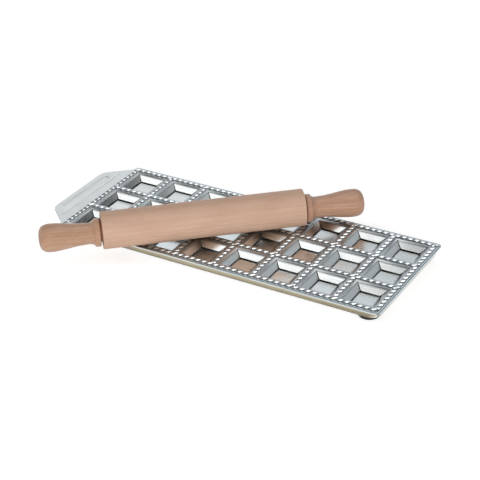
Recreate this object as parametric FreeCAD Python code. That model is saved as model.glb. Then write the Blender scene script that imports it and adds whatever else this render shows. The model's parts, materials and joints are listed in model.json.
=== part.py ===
# Ravioli mould with a rolling pin lying across it.
# The mould is a pressed aluminium sheet with tapered pockets and toothed crimping ridges, on a shallow pan
# with rubber feet. The pin is a beech barrel that turns on a steel rod between two turned handles.
# Millimetres, +Z up. The origin lies on the table, under the middle of the whole footprint.
import FreeCAD, Part
import math
import os

V = FreeCAD.Vector
UP = V(0, 0, 1)

# Pocket grid
POCKET_PITCH = 36.0
COLUMN_COUNT = 8
ROW_COUNT = 3
POCKET_MOUTH = 28.6
POCKET_DEPTH = 4.9
FLAP_LEAN = 5.5
MOUTH_ROUND = 4.8
SLIT_AT_BEND = 1.0
SLIT_AT_END = 1.3
SLIT_PAST_CORNER = 0.2

# Mould sheet
SHEET = 0.8
GRID_MARGIN = 4.4
TRAY_CORNER = 4.0
RIM_LIP = 0.4
RIM_ROUND = 0.7

# Flange handle at the left end
FLANGE_REACH = 21.6
FLANGE_SHOULDER = 4.4
FLANGE_TIP_WIDTH = 71.4
FLANGE_CORNER = 10.0
BEAD_LENGTH = 84.0
BEAD_WIDTH = 2.4
BEAD_HEIGHT = 0.6
BEAD_FROM_TRAY = 7.0
PANEL_LENGTH = 62.0
PANEL_WIDTH = 6.4
PANEL_SINK = 0.3
PANEL_FROM_BEAD = 5.6

# Crimping ridges
TEETH_PER_POCKET = 6.5
RIDGE_WIDTH = 3.2
RIDGE_ROOT = 0.25
TOOTH_HEIGHT = 1.0
TOOTH_THICKNESS = 2.9
CREST_THICKNESS = 1.4
TOOTH_END_DRAFT = 0.5
CROSSING_TOOTH_SPAN = 4.8

# Base pan
PAN_SHEET = 0.7
PAN_SIDE_LEAN = 1.2
PAN_END_LEAN = 2.0
PAN_FOLD_CLEARANCE = 0.1
PAN_FLAP_GAP = 1.0
PAN_FOOT_CORNER = 8.0

# Rubber feet
FOOT_HEIGHT = 3.8
FOOT_RADIUS = 9.0
FOOT_DRAFT = 0.4
FOOT_ROUND = 0.8
FOOT_FROM_END = 13.9
FOOT_FROM_SIDE = 12.0

# Rolling pin: barrel, rod and bushes
BARREL_LENGTH = 166.8
BARREL_RADIUS = 15.3
BARREL_CHAMFER = 0.4
ROD_RADIUS = 3.0
ROD_IN_HANDLE = 32.0
ROD_END_CHAMFER = 0.5
ROD_RUNNING_CLEARANCE = 1.4
ROD_REST_GAP = 0.1
BUSH_WALL = 1.6
BUSH_LENGTH = 14.0
BUSH_FLANGE_REACH = 2.5
BUSH_FLANGE = 1.2
BARREL_BORE_CLEARANCE = 0.6
HANDLE_END_PLAY = 0.2
HANDLE_BORE_END = 1.0

# Handle profile, measured from its inner face
HANDLE_LENGTH = 49.4
COLLAR_RADIUS = 11.6
COLLAR_LENGTH = 4.8
COLLAR_ROUND = 0.9
COVE_STEP = 1.5
NECK_RADIUS = 9.0
NECK_FROM_FACE = 11.2
SWELL_RADIUS = 11.4
SWELL_FROM_END = 9.8
DOME_FULLNESS = 0.75

# Where the pin lies on the mould, from the middle of the pocket grid
PIN_ANGLE = 41.0
PIN_ALONG = -28.9
PIN_ACROSS = -19.0
PIN_REST_GAP = 0.2

# Heights, each one standing on the one before
PAN_UNDERSIDE = FOOT_HEIGHT
PAN_FLOOR = PAN_UNDERSIDE + PAN_SHEET
FLAP_END = PAN_FLOOR + PAN_FLAP_GAP
LAND = FLAP_END + POCKET_DEPTH
SHEET_UNDERSIDE = LAND - SHEET
RIM_EDGE = SHEET_UNDERSIDE - RIM_LIP
RIDGE_TOP = LAND + TOOTH_HEIGHT
PIN_AXIS = RIDGE_TOP + PIN_REST_GAP + BARREL_RADIUS

# Sizes of the pin that follow from its rod
ROD_SAG = ROD_RUNNING_CLEARANCE - ROD_REST_GAP
BUSH_BORE_RADIUS = ROD_RADIUS + ROD_RUNNING_CLEARANCE
BUSH_RADIUS = BUSH_BORE_RADIUS + BUSH_WALL
BARREL_BORE_RADIUS = BUSH_BORE_RADIUS + BARREL_BORE_CLEARANCE

# Plan sizes of the tray, and the middle of its pocket grid in the part's own frame
GRID_HALF_LENGTH = COLUMN_COUNT * POCKET_PITCH / 2
GRID_HALF_WIDTH = ROW_COUNT * POCKET_PITCH / 2
TRAY_HALF_LENGTH = GRID_HALF_LENGTH + GRID_MARGIN
TRAY_HALF_WIDTH = GRID_HALF_WIDTH + GRID_MARGIN
MOULD_MIDDLE = V(FLANGE_REACH / 2, -PIN_ACROSS, 0)
PIN_MIDDLE = MOULD_MIDDLE + V(PIN_ALONG, PIN_ACROSS, PIN_AXIS)

FLAP_SLOPE = FLAP_LEAN / POCKET_DEPTH
FLAP_SIDEWAYS = SHEET * math.hypot(1, FLAP_SLOPE)
HALF_BEND = math.atan2(POCKET_DEPTH, FLAP_LEAN) / 2
TOOTH_PITCH = POCKET_PITCH / TEETH_PER_POCKET
SLACK = 1.0


def line_positions(count):
    """Places of the ridge lines that bound `count` pockets, centred on zero."""
    return [(i - count / 2) * POCKET_PITCH for i in range(count + 1)]


def pocket_centres():
    """Middles of all pockets, from the middle of the grid."""
    xs = [x + POCKET_PITCH / 2 for x in line_positions(COLUMN_COUNT)[:-1]]
    ys = [y + POCKET_PITCH / 2 for y in line_positions(ROW_COUNT)[:-1]]
    return [V(x, y, 0) for x in xs for y in ys]


def polygon_face(points):
    """Flat face through the given corners."""
    return Part.Face(Part.makePolygon(points + points[:1]))


def rounded_outline(corners):
    """Closed wire through (point, radius) corners, each corner cut by an arc of its radius."""
    count = len(corners)
    starts = []
    ends = []
    middles = []
    for i in range(count):
        point, radius = corners[i]
        before = (corners[i - 1][0] - point).normalize()
        after = (corners[(i + 1) % count][0] - point).normalize()
        half_angle = before.getAngle(after) / 2
        setback = radius / math.tan(half_angle)
        inward = (before + after).normalize()
        starts.append(point + before * setback)
        ends.append(point + after * setback)
        middles.append(point + inward * (radius / math.sin(half_angle) - radius))
    edges = []
    for i in range(count):
        edges.append(Part.Arc(starts[i], middles[i], ends[i]).toShape())
        edges.append(Part.makeLine(ends[i], starts[(i + 1) % count]))
    return Part.Wire(edges)


def rounded_rectangle(half_x, half_y, radius, z):
    """Closed rounded rectangle at height z, centred on the Z axis."""
    signs = ((1, 1), (-1, 1), (-1, -1), (1, -1))
    return rounded_outline([(V(half_x * sx, half_y * sy, z), radius) for sx, sy in signs])


def prismoid(low, high):
    """Solid between two level polygons whose sides are parallel one by one."""
    faces = [polygon_face(low), polygon_face(high)]
    for i in range(len(low)):
        faces.append(polygon_face([low[i - 1], low[i], high[i], high[i - 1]]))
    return Part.Solid(Part.Shell(faces))


def square_frustum(half_low, z_low, half_high, z_high):
    """Solid between two level squares centred on the Z axis."""
    squares = []
    for half, z in ((half_low, z_low), (half_high, z_high)):
        squares.append([V(-half, -half, z), V(half, -half, z), V(half, half, z), V(-half, half, z)])
    return prismoid(*squares)


def copies(shape, places):
    """One compound with a copy of the shape at each place."""
    return Part.Compound([shape.translated(place) for place in places])


# Mould sheet
def sheet_outline(z):
    """Outline of the tray with its flange handle, seen from above."""
    root_half = TRAY_HALF_WIDTH - FLANGE_SHOULDER
    tip_x = -TRAY_HALF_LENGTH - FLANGE_REACH
    shoulder_round = FLANGE_SHOULDER / 4
    corners = [
        (V(TRAY_HALF_LENGTH, -TRAY_HALF_WIDTH, z), TRAY_CORNER),
        (V(TRAY_HALF_LENGTH, TRAY_HALF_WIDTH, z), TRAY_CORNER),
        (V(-TRAY_HALF_LENGTH, TRAY_HALF_WIDTH, z), FLANGE_SHOULDER / 2),
        (V(-TRAY_HALF_LENGTH, root_half, z), shoulder_round),
        (V(tip_x, FLANGE_TIP_WIDTH / 2, z), FLANGE_CORNER),
        (V(tip_x, -FLANGE_TIP_WIDTH / 2, z), FLANGE_CORNER),
        (V(-TRAY_HALF_LENGTH, -root_half, z), shoulder_round),
        (V(-TRAY_HALF_LENGTH, -TRAY_HALF_WIDTH, z), FLANGE_SHOULDER / 2),
    ]
    return rounded_outline(corners)


def folded_plate():
    """Flat sheet whose edge is folded down all round as the rim."""
    plate = Part.Face(sheet_outline(RIM_EDGE)).extrude(UP * (LAND - RIM_EDGE))
    top_edges = [edge for edge in plate.Edges if edge.BoundBox.ZMin > LAND - SHEET / 4]
    plate = plate.makeFillet(RIM_ROUND, top_edges)
    inner = sheet_outline(RIM_EDGE).makeOffset2D(-SHEET)
    return plate.cut(Part.Face(inner).extrude(UP * RIM_LIP))


def flap_block():
    """Outside of one pocket's four flaps, from their ends up into the sheet.

    Under the rolled mouth it flares along a plane that touches the middle of the bend's inner face, so that
    the sheet keeps its thickness there.
    """
    half_end = POCKET_MOUTH / 2 - FLAP_LEAN + FLAP_SIDEWAYS
    z_high = LAND - SHEET / 2
    flaps = square_frustum(half_end, FLAP_END, half_end + FLAP_SLOPE * (z_high - FLAP_END), z_high)
    inner_round = MOUTH_ROUND - SHEET
    bend_start = POCKET_MOUTH / 2 + MOUTH_ROUND * math.tan(HALF_BEND)
    bend_half = bend_start - inner_round * math.sin(HALF_BEND)
    bend_z = LAND - MOUTH_ROUND + inner_round * math.cos(HALF_BEND)
    rise = z_high - bend_z
    spread = rise / math.tan(HALF_BEND)
    flare = square_frustum(bend_half - spread, bend_z - rise, bend_half + spread, z_high)
    return flaps.fuse(flare)


def pocket_space():
    """Tapered space of one pocket, carried on past both faces of the sheet."""
    half_low = POCKET_MOUTH / 2 - FLAP_LEAN - FLAP_SLOPE * SLACK
    half_high = POCKET_MOUTH / 2 + FLAP_SLOPE * SLACK
    return square_frustum(half_low, FLAP_END - SLACK, half_high, LAND + SLACK)


def corner_slits():
    """Four slits that part one pocket's flaps, wider towards their ends.

    They are cut out of the front and back flaps, and take only a little off the corners of the side flaps.
    """
    z_high = SHEET_UNDERSIDE - SHEET / 8
    z_low = FLAP_END - SLACK
    reach_in = (POCKET_MOUTH / 2 - FLAP_LEAN) * math.sqrt(2) - SLACK
    reach_out = (POCKET_MOUTH / 2 + FLAP_SIDEWAYS) * math.sqrt(2)
    slits = []
    for quarter in range(4):
        into_flap = (-1) ** quarter
        near = -into_flap * SLIT_PAST_CORNER
        profile = [
            V(reach_in, near, z_low),
            V(reach_in, near + into_flap * SLIT_AT_END, z_low),
            V(reach_in, near + into_flap * SLIT_AT_BEND, z_high),
            V(reach_in, near, z_high),
        ]
        slit = polygon_face(profile).extrude(V(reach_out - reach_in, 0, 0))
        slits.append(slit.rotated(V(0, 0, 0), UP, 45 + 90 * quarter))
    return slits


def bead_bar():
    """Half-round stiffening bead with ball ends, lying along Y with its foot at Z = 0."""
    radius = (BEAD_HEIGHT ** 2 + (BEAD_WIDTH / 2) ** 2) / (2 * BEAD_HEIGHT)
    drop = V(0, 0, BEAD_HEIGHT - radius)
    straight = BEAD_LENGTH - BEAD_WIDTH
    bar = Part.makeCylinder(radius, straight, V(0, -straight / 2, 0) + drop, V(0, 1, 0))
    ends = [Part.makeSphere(radius, V(0, side * straight / 2, 0) + drop) for side in (-1, 1)]
    above = Part.makeBox(4 * radius, BEAD_LENGTH + 4 * radius, radius)
    above.translate(V(-2 * radius, -BEAD_LENGTH / 2 - 2 * radius, 0))
    return bar.multiFuse(ends).common(above).removeSplitter()


def panel_slab():
    """Shallow bare panel sunk in the flange between the bead and the tip."""
    outline = rounded_rectangle(PANEL_WIDTH / 2, PANEL_LENGTH / 2, PANEL_WIDTH / 4, 0)
    return Part.Face(outline).extrude(UP * SLACK)


def make_mould_sheet():
    """Pressed sheet with flaps, slits, rounded mouths, rim and flange handle."""
    centres = pocket_centres()
    sheet = folded_plate().fuse(copies(flap_block(), centres))
    sheet = sheet.cut(copies(pocket_space(), centres)).removeSplitter()
    mouth_edges = []
    for edge in sheet.Edges:
        box = edge.BoundBox
        level_at_land = box.ZMin > LAND - SHEET / 8 and box.ZMax < LAND + SHEET / 8
        inside_grid = abs(box.Center.x) < GRID_HALF_LENGTH and abs(box.Center.y) < GRID_HALF_WIDTH
        if level_at_land and inside_grid:
            mouth_edges.append(edge)
    sheet = sheet.makeFillet(MOUTH_ROUND, mouth_edges)
    slits = [slit.translated(centre) for centre in centres for slit in corner_slits()]
    sheet = sheet.cut(Part.Compound(slits))
    bead_place = V(-TRAY_HALF_LENGTH - BEAD_FROM_TRAY, 0, LAND)
    sheet = sheet.fuse(bead_bar().translated(bead_place))
    sheet = sheet.cut(bead_bar().translated(bead_place - UP * SHEET))
    panel_place = bead_place - V(PANEL_FROM_BEAD, 0, PANEL_SINK)
    return sheet.cut(panel_slab().translated(panel_place)).removeSplitter()


# Crimping ridges
def tooth(centre, along_x, span):
    """One lozenge tooth. Its long axis runs at 45 degrees to the ridge, towards +X and +Y.

    The ridge runs along X or along Y, and `span` is the tooth's width across the ridge.
    """
    along = V(1, 0, 0) if along_x else V(0, 1, 0)
    diagonal = V(1, 1, 0)
    lozenges = []
    for half_across, thickness, z in (
        (span / 2, TOOTH_THICKNESS, LAND),
        (span / 2 - TOOTH_END_DRAFT, CREST_THICKNESS, RIDGE_TOP),
    ):
        half_along = thickness / math.sqrt(2)
        middle = centre + V(0, 0, z)
        corners = []
        for across_sign, along_sign in ((-1, -1), (-1, 1), (1, 1), (1, -1)):
            offset = diagonal * (across_sign * half_across) + along * (along_sign * half_along)
            corners.append(middle + offset)
        lozenges.append(corners)
    return prismoid(*lozenges)


def tooth_places(fixed, low, high, along_x):
    """Places of the teeth along a ridge line between low and high.

    The teeth of all ridges lie in the same slanting bands, where x - y is a whole number of pitches from the
    band through every second crossing.
    """
    first_crossing = -GRID_HALF_LENGTH - GRID_HALF_WIDTH
    phase = first_crossing + fixed if along_x else fixed - first_crossing
    start = math.ceil((low - phase) / TOOTH_PITCH - 1e-6)
    stop = math.floor((high - phase) / TOOTH_PITCH + 1e-6)
    return [phase + k * TOOTH_PITCH for k in range(start, stop + 1)]


def ridge_bar(low, high, fixed, along_x):
    """Low bar that carries the teeth of one ridge."""
    half = RIDGE_WIDTH / 2
    if along_x:
        return Part.makeBox(high - low, RIDGE_WIDTH, RIDGE_ROOT, V(low, fixed - half, LAND))
    return Part.makeBox(RIDGE_WIDTH, high - low, RIDGE_ROOT, V(fixed - half, low, LAND))


def has_crossing_tooth(x, y):
    """True where a tooth, and not a groove, lies on the crossing of two ridges."""
    bands = (x - y + GRID_HALF_LENGTH + GRID_HALF_WIDTH) / TOOTH_PITCH
    return abs(bands - round(bands)) < 0.1


def make_long_ridges():
    """Toothed ridges along the tray, with a longer tooth on every second crossing inside their frame."""
    rows = []
    end = GRID_HALF_LENGTH + RIDGE_WIDTH / 2
    side = GRID_HALF_WIDTH + RIDGE_WIDTH / 2
    frame = Part.makeBox(2 * end, 2 * side, TOOTH_HEIGHT, V(-end, -side, LAND))
    for y in line_positions(ROW_COUNT):
        crossings = [x for x in line_positions(COLUMN_COUNT) if has_crossing_tooth(x, y)]
        teeth = [tooth(V(x, y, 0), True, CROSSING_TOOTH_SPAN) for x in crossings]
        for x in tooth_places(y, -GRID_HALF_LENGTH, GRID_HALF_LENGTH, True):
            if all(abs(x - crossing) > TOOTH_PITCH / 2 for crossing in crossings):
                teeth.append(tooth(V(x, y, 0), True, RIDGE_WIDTH))
        row = ridge_bar(-end, end, y, True).multiFuse(teeth).common(frame)
        rows.append(row.removeSplitter())
    return Part.Compound([solid for row in rows for solid in row.Solids])


def make_cross_ridges(long_ridges):
    """Toothed ridges across the tray, one length between each two long ridges."""
    lengths = []
    lines = line_positions(ROW_COUNT)
    for x in line_positions(COLUMN_COUNT):
        for line, next_line in zip(lines[:-1], lines[1:]):
            low = line + RIDGE_WIDTH / 2
            high = next_line - RIDGE_WIDTH / 2
            teeth = [tooth(V(x, y, 0), False, RIDGE_WIDTH) for y in tooth_places(x, low, high, False)]
            ridge = ridge_bar(low, high, x, False).multiFuse(teeth).removeSplitter()
            span = V(CROSSING_TOOTH_SPAN, 0, 0)
            window = Part.makeBox(2 * span.x, high - low, SLACK + TOOTH_HEIGHT, V(x, low, LAND) - span)
            lengths.append(ridge.common(window).cut(long_ridges))
    return Part.Compound([solid for ridge in lengths for solid in ridge.Solids])


# Base pan
def make_base_pan():
    """Shallow pan with leaning sides. Its lip meets the underside of the sheet, inside the folded rim."""
    def wire(z, inset):
        rise = (z - PAN_UNDERSIDE) / (SHEET_UNDERSIDE - PAN_UNDERSIDE)
        outside = SHEET + PAN_FOLD_CLEARANCE + inset
        half_x = TRAY_HALF_LENGTH - outside - PAN_END_LEAN * (1 - rise)
        half_y = TRAY_HALF_WIDTH - outside - PAN_SIDE_LEAN * (1 - rise)
        corner = PAN_FOOT_CORNER + (TRAY_CORNER - SHEET - PAN_FOLD_CLEARANCE - PAN_FOOT_CORNER) * rise
        return rounded_rectangle(half_x, half_y, corner - inset, z)
    outer = Part.makeLoft([wire(PAN_UNDERSIDE, 0), wire(SHEET_UNDERSIDE, 0)], True, True)
    hollow_top = SHEET_UNDERSIDE + SHEET
    inner = Part.makeLoft([wire(PAN_FLOOR, PAN_SHEET), wire(hollow_top, PAN_SHEET)], True, True)
    return outer.cut(inner)


# Rubber feet
def make_foot():
    """Round foot that tapers a little downwards, with a rounded lower edge."""
    tip_radius = FOOT_RADIUS - FOOT_DRAFT
    lean = math.atan2(FOOT_DRAFT, FOOT_HEIGHT)
    round_middle = V(tip_radius - FOOT_ROUND, 0, FOOT_ROUND)
    arc_end = round_middle + V(FOOT_ROUND * math.cos(lean), 0, -FOOT_ROUND * math.sin(lean))
    arc_mid_angle = (math.pi / 2 + lean) / 2
    arc_mid = round_middle + V(math.sin(arc_mid_angle), 0, -math.cos(arc_mid_angle)) * FOOT_ROUND
    arc_start = V(round_middle.x, 0, 0)
    edges = [
        Part.makeLine(V(0, 0, 0), arc_start),
        Part.Arc(arc_start, arc_mid, arc_end).toShape(),
        Part.makeLine(arc_end, V(FOOT_RADIUS, 0, FOOT_HEIGHT)),
        Part.makeLine(V(FOOT_RADIUS, 0, FOOT_HEIGHT), V(0, 0, FOOT_HEIGHT)),
        Part.makeLine(V(0, 0, FOOT_HEIGHT), V(0, 0, 0)),
    ]
    return Part.Face(Part.Wire(edges)).revolve(V(0, 0, 0), UP, 360)


# Rolling pin, built along the X axis about the middle of the barrel
def turned(edges):
    """Solid of revolution about the X axis from a closed profile in the XY plane."""
    return Part.Face(Part.Wire(edges)).revolve(V(0, 0, 0), V(1, 0, 0), 360)


def make_barrel():
    """Plain barrel with a chamfer on each end, a through bore and a bush seat in each end."""
    half = BARREL_LENGTH / 2
    barrel = Part.makeCylinder(BARREL_RADIUS, BARREL_LENGTH, V(-half, 0, 0), V(1, 0, 0))
    rims = [edge for edge in barrel.Edges if edge.Closed]
    barrel = barrel.makeChamfer(BARREL_CHAMFER, rims)
    bore = Part.makeCylinder(BARREL_BORE_RADIUS, BARREL_LENGTH, V(-half, 0, 0), V(1, 0, 0))
    seats = [
        Part.makeCylinder(BUSH_RADIUS, BUSH_LENGTH, V(side * half, 0, 0), V(-side, 0, 0)) for side in (-1, 1)
    ]
    return barrel.cut(bore.multiFuse(seats))


def make_bush(side):
    """Flanged bush in the barrel's end at the given side, -1 left or 1 right."""
    face = V(side * BARREL_LENGTH / 2, 0, 0)
    outward = V(side, 0, 0)
    sleeve = Part.makeCylinder(BUSH_RADIUS, BUSH_LENGTH, face, -outward)
    flange = Part.makeCylinder(BUSH_RADIUS + BUSH_FLANGE_REACH, BUSH_FLANGE, face, outward)
    inner_end = face - outward * BUSH_LENGTH
    bore = Part.makeCylinder(BUSH_BORE_RADIUS, BUSH_LENGTH + BUSH_FLANGE, inner_end, outward)
    return sleeve.fuse(flange).cut(bore).removeSplitter()


def handle_face():
    """Distance of a handle's inner face from the middle of the barrel."""
    return BARREL_LENGTH / 2 + BUSH_FLANGE + HANDLE_END_PLAY


def make_rod():
    """Steel rod through the barrel into both handles, about its own axis."""
    half = handle_face() + ROD_IN_HANDLE
    rod = Part.makeCylinder(ROD_RADIUS, 2 * half, V(-half, 0, 0), V(1, 0, 0))
    return rod.makeChamfer(ROD_END_CHAMFER, [edge for edge in rod.Edges if edge.Closed])


def collar_round(middle, side):
    """Quarter round of the collar's edge, on the inner (-1) or outer (1) side of its middle."""
    slope = COLLAR_ROUND / math.sqrt(2)
    at_face = middle + V(side * COLLAR_ROUND, 0, 0)
    between = middle + V(side * slope, slope, 0)
    return Part.Arc(at_face, between, middle + V(0, COLLAR_ROUND, 0)).toShape()


def make_handle(side):
    """Turned handle: collar, cove, slim neck, swelling grip and domed end, with a blind bore for the rod."""
    face = handle_face()
    end = face + HANDLE_LENGTH
    bore_end = face + ROD_IN_HANDLE + HANDLE_BORE_END
    collar_end = face + COLLAR_LENGTH
    shoulder = COLLAR_RADIUS - COLLAR_ROUND
    collar_start = V(face + COLLAR_ROUND, COLLAR_RADIUS, 0)
    collar_stop = V(collar_end - COLLAR_ROUND, COLLAR_RADIUS, 0)
    cove_start = V(collar_end, COLLAR_RADIUS - COVE_STEP, 0)
    neck = V(face + NECK_FROM_FACE, NECK_RADIUS, 0)
    grip_end = V(end - SWELL_FROM_END, SWELL_RADIUS, 0)
    cove = Part.BSplineCurve()
    cove.interpolate([cove_start, neck, grip_end], Tangents=[V(1, -1, 0), V(1, 0, 0), V(1, 0, 0)],
                     TangentFlags=[True, True, True])
    dome = Part.BezierCurve()
    dome.setPoles([grip_end, grip_end + V(DOME_FULLNESS * SWELL_FROM_END, 0, 0),
                   V(end, DOME_FULLNESS * SWELL_RADIUS, 0), V(end, 0, 0)])
    inner_round = collar_round(V(face + COLLAR_ROUND, shoulder, 0), -1)
    outer_round = collar_round(V(collar_end - COLLAR_ROUND, shoulder, 0), 1)
    edges = [
        Part.makeLine(V(face, ROD_RADIUS, 0), V(face, shoulder, 0)),
        inner_round,
        Part.makeLine(collar_start, collar_stop),
        outer_round,
        Part.makeLine(V(collar_end, shoulder, 0), cove_start),
        cove.toShape(),
        dome.toShape(),
        Part.makeLine(V(end, 0, 0), V(bore_end, 0, 0)),
        Part.makeLine(V(bore_end, 0, 0), V(bore_end, ROD_RADIUS, 0)),
        Part.makeLine(V(bore_end, ROD_RADIUS, 0), V(face, ROD_RADIUS, 0)),
    ]
    handle = turned(edges)
    return handle if side > 0 else handle.rotated(V(0, 0, 0), UP, 180)


def on_mould(shape):
    """Moves a piece of the mould from the middle of the pocket grid to its place."""
    return shape.translated(MOULD_MIDDLE)


def across_mould(shape):
    """Turns and moves a piece of the rolling pin to where it lies on the ridges."""
    return shape.rotated(V(0, 0, 0), UP, PIN_ANGLE).translated(PIN_MIDDLE)


def hung(shape):
    """Lowers the rod or a handle: they are one unit, which hangs in the wide bores of the bushes."""
    return shape.translated(-UP * ROD_SAG)


def make_parts():
    """All nodes by name, in the part's own frame."""
    long_ridges = make_long_ridges()
    parts = {
        "mould_sheet": on_mould(make_mould_sheet()),
        "long_ridges": on_mould(long_ridges),
        "cross_ridges": on_mould(make_cross_ridges(long_ridges)),
        "base_pan": on_mould(make_base_pan()),
        "pin_barrel": across_mould(make_barrel()),
        "pin_axle": across_mould(hung(make_rod())),
        "left_bush": across_mould(make_bush(-1)),
        "right_bush": across_mould(make_bush(1)),
        "left_handle": across_mould(hung(make_handle(-1))),
        "right_handle": across_mould(hung(make_handle(1))),
    }
    for end_name, end_sign in (("left", -1), ("right", 1)):
        for side_name, side_sign in (("front", -1), ("back", 1)):
            x = end_sign * (TRAY_HALF_LENGTH - FOOT_FROM_END)
            y = side_sign * (TRAY_HALF_WIDTH - FOOT_FROM_SIDE)
            parts[f"foot_{side_name}_{end_name}"] = on_mould(make_foot().translated(V(x, y, 0)))
    return parts


os.makedirs("parts", exist_ok=True)
PARTS = make_parts()
for name, shape in PARTS.items():
    shape.exportStep(f"parts/{name}.step")
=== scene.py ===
"""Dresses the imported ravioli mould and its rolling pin, and sets up the studio that they are pictured in.

All lengths are metres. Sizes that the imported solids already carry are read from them, and the rest are named
fields of the class that uses them. X runs along the tray, Y across it and Z up from the table.
"""
import json
import logging
import math
from dataclasses import dataclass, field
from enum import Enum
from functools import cached_property

import bmesh
import bpy
import numpy as np
from mathutils import Matrix, Vector


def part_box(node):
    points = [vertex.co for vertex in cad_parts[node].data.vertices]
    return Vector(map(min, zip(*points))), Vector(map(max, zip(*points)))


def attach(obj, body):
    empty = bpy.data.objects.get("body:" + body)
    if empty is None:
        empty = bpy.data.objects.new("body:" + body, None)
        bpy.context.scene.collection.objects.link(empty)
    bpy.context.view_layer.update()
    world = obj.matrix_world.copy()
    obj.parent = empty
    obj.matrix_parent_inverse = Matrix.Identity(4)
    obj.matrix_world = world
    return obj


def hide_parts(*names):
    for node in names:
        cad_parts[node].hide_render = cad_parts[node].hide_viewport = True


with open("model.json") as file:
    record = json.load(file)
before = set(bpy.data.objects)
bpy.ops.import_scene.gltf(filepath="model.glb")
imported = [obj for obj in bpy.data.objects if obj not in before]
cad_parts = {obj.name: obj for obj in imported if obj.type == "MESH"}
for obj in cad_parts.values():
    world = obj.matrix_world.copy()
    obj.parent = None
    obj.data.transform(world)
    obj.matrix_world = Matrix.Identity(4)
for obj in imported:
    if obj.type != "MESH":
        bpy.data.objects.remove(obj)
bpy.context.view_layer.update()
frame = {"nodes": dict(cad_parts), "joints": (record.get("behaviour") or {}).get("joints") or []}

LOG = logging.getLogger("ravioli_mould")
MM = 0.001
WELD_DISTANCE = 0.002 * MM
TURNED_CREASE = 35.0
PRESSED_CREASE = 32.0
ROPE_CREASE = 75.0

Colour = tuple[float, float, float]
Triple = tuple[float, float, float]
Range = tuple[float, float]
Patch = tuple[np.ndarray, list[list[int]]]
Socket = bpy.types.NodeSocket


class Run(Enum):
    """Which way a ridge runs on the tray."""

    ALONG = "along"
    ACROSS = "across"


class PinEnd(Enum):
    """The two ends of the rolling pin, as signs along its axis."""

    LEFT = -1
    RIGHT = 1


def shade(red: int, green: int, blue: int) -> Colour:
    """Turns a colour as the eye reads it, 0 to 255 a channel, into scene-linear values.

    Each channel is divided by 255 and raised to the display's power, with its straight foot near black.
    """
    parts = (value / 255 for value in (red, green, blue))
    return tuple(part / 12.92 if part <= 0.04045 else ((part + 0.055) / 1.055) ** 2.4 for part in parts)


# Meshes from arrays
def grid_faces(rows: int, columns: int, wrap: bool = False) -> list[list[int]]:
    """Lists the quads between neighbouring rows and columns of a grid of points.

    Args:
        rows: Number of rows, in the order of the first array axis.
        columns: Number of points in each row.
        wrap: True where the last point of a row meets its first one.

    Returns:
        Four point numbers for each quad.
    """
    row = np.arange(rows - 1)[:, None] * columns
    column = np.arange(columns if wrap else columns - 1)[None, :]
    following = (column + 1) % columns
    quads = np.stack([row + column, row + following, row + columns + following, row + columns + column], -1)
    return quads.reshape(-1, 4).tolist()


def tube_patch(points: np.ndarray) -> Patch:
    """Closes a grid whose rows are loops into a solid tube with a flat cap on each end.

    Args:
        points: Array of rows, points in a row, and three coordinates.

    Returns:
        The points in one list, and the faces between them.
    """
    rows, columns = points.shape[:2]
    faces = grid_faces(rows, columns, wrap=True)
    faces.append(list(range(columns))[::-1])
    faces.append(list(range((rows - 1) * columns, rows * columns)))
    return points.reshape(-1, 3), faces


def revolve(profile: np.ndarray, segments: int) -> Patch:
    """Turns a profile about the X axis.

    A profile point (x, r) goes round to (x, r cos a, r sin a) for each angle a. The first and last points of
    the profile are one point, or both lie on the axis, so that the surface is closed.

    Args:
        profile: Points (x, r) in order.
        segments: Number of steps in the turn.

    Returns:
        The points in one list, and the faces between them.
    """
    angle = np.linspace(0, 2 * np.pi, segments, endpoint=False)
    along = np.repeat(profile[:, :1], segments, axis=1)
    points = np.stack([along, profile[:, 1:] * np.cos(angle), profile[:, 1:] * np.sin(angle)], -1)
    return points.reshape(-1, 3), grid_faces(len(profile), segments, wrap=True)


def arc(centre: tuple[float, float], radius: float, start: float, end: float, steps: int) -> np.ndarray:
    """Points (x, r) on a circular arc, from the start angle to the end angle in degrees."""
    angle = np.radians(np.linspace(start, end, steps + 1))
    return np.stack([centre[0] + radius * np.cos(angle), centre[1] + radius * np.sin(angle)], -1)


def bezier(poles: list[tuple[float, float]], steps: int) -> np.ndarray:
    """Points (x, r) on a cubic curve: the poles weighed by (1-t)^3, 3t(1-t)^2, 3t^2(1-t) and t^3."""
    t = np.linspace(0, 1, steps + 1)[:, None]
    weights = np.concatenate([(1 - t) ** 3, 3 * t * (1 - t) ** 2, 3 * t ** 2 * (1 - t), t ** 3], axis=1)
    return weights @ np.array(poles)


def smooth_finish(piece: bpy.types.Object, crease: float) -> None:
    """Merges doubled points, turns all faces outward and shades them smooth up to a crease angle.

    Args:
        piece: The object whose mesh is finished.
        crease: Angle between two faces, in degrees, from which their edge stays sharp.
    """
    shell = bmesh.new()
    shell.from_mesh(piece.data)
    bmesh.ops.remove_doubles(shell, verts=shell.verts, dist=WELD_DISTANCE)
    bmesh.ops.recalc_face_normals(shell, faces=shell.faces)
    shell.to_mesh(piece.data)
    shell.free()
    piece.data.shade_smooth()
    piece.data.set_sharp_from_angle(angle=math.radians(crease))
    normals = piece.modifiers.new("even_normals", "WEIGHTED_NORMAL")
    normals.keep_sharp = True


def put_in_scene(name: str, data: bpy.types.ID) -> bpy.types.Object:
    """Makes an object of a mesh, a lamp or a camera and links it into the scene."""
    made = bpy.data.objects.new(name, data)
    bpy.context.scene.collection.objects.link(made)
    return made


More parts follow.
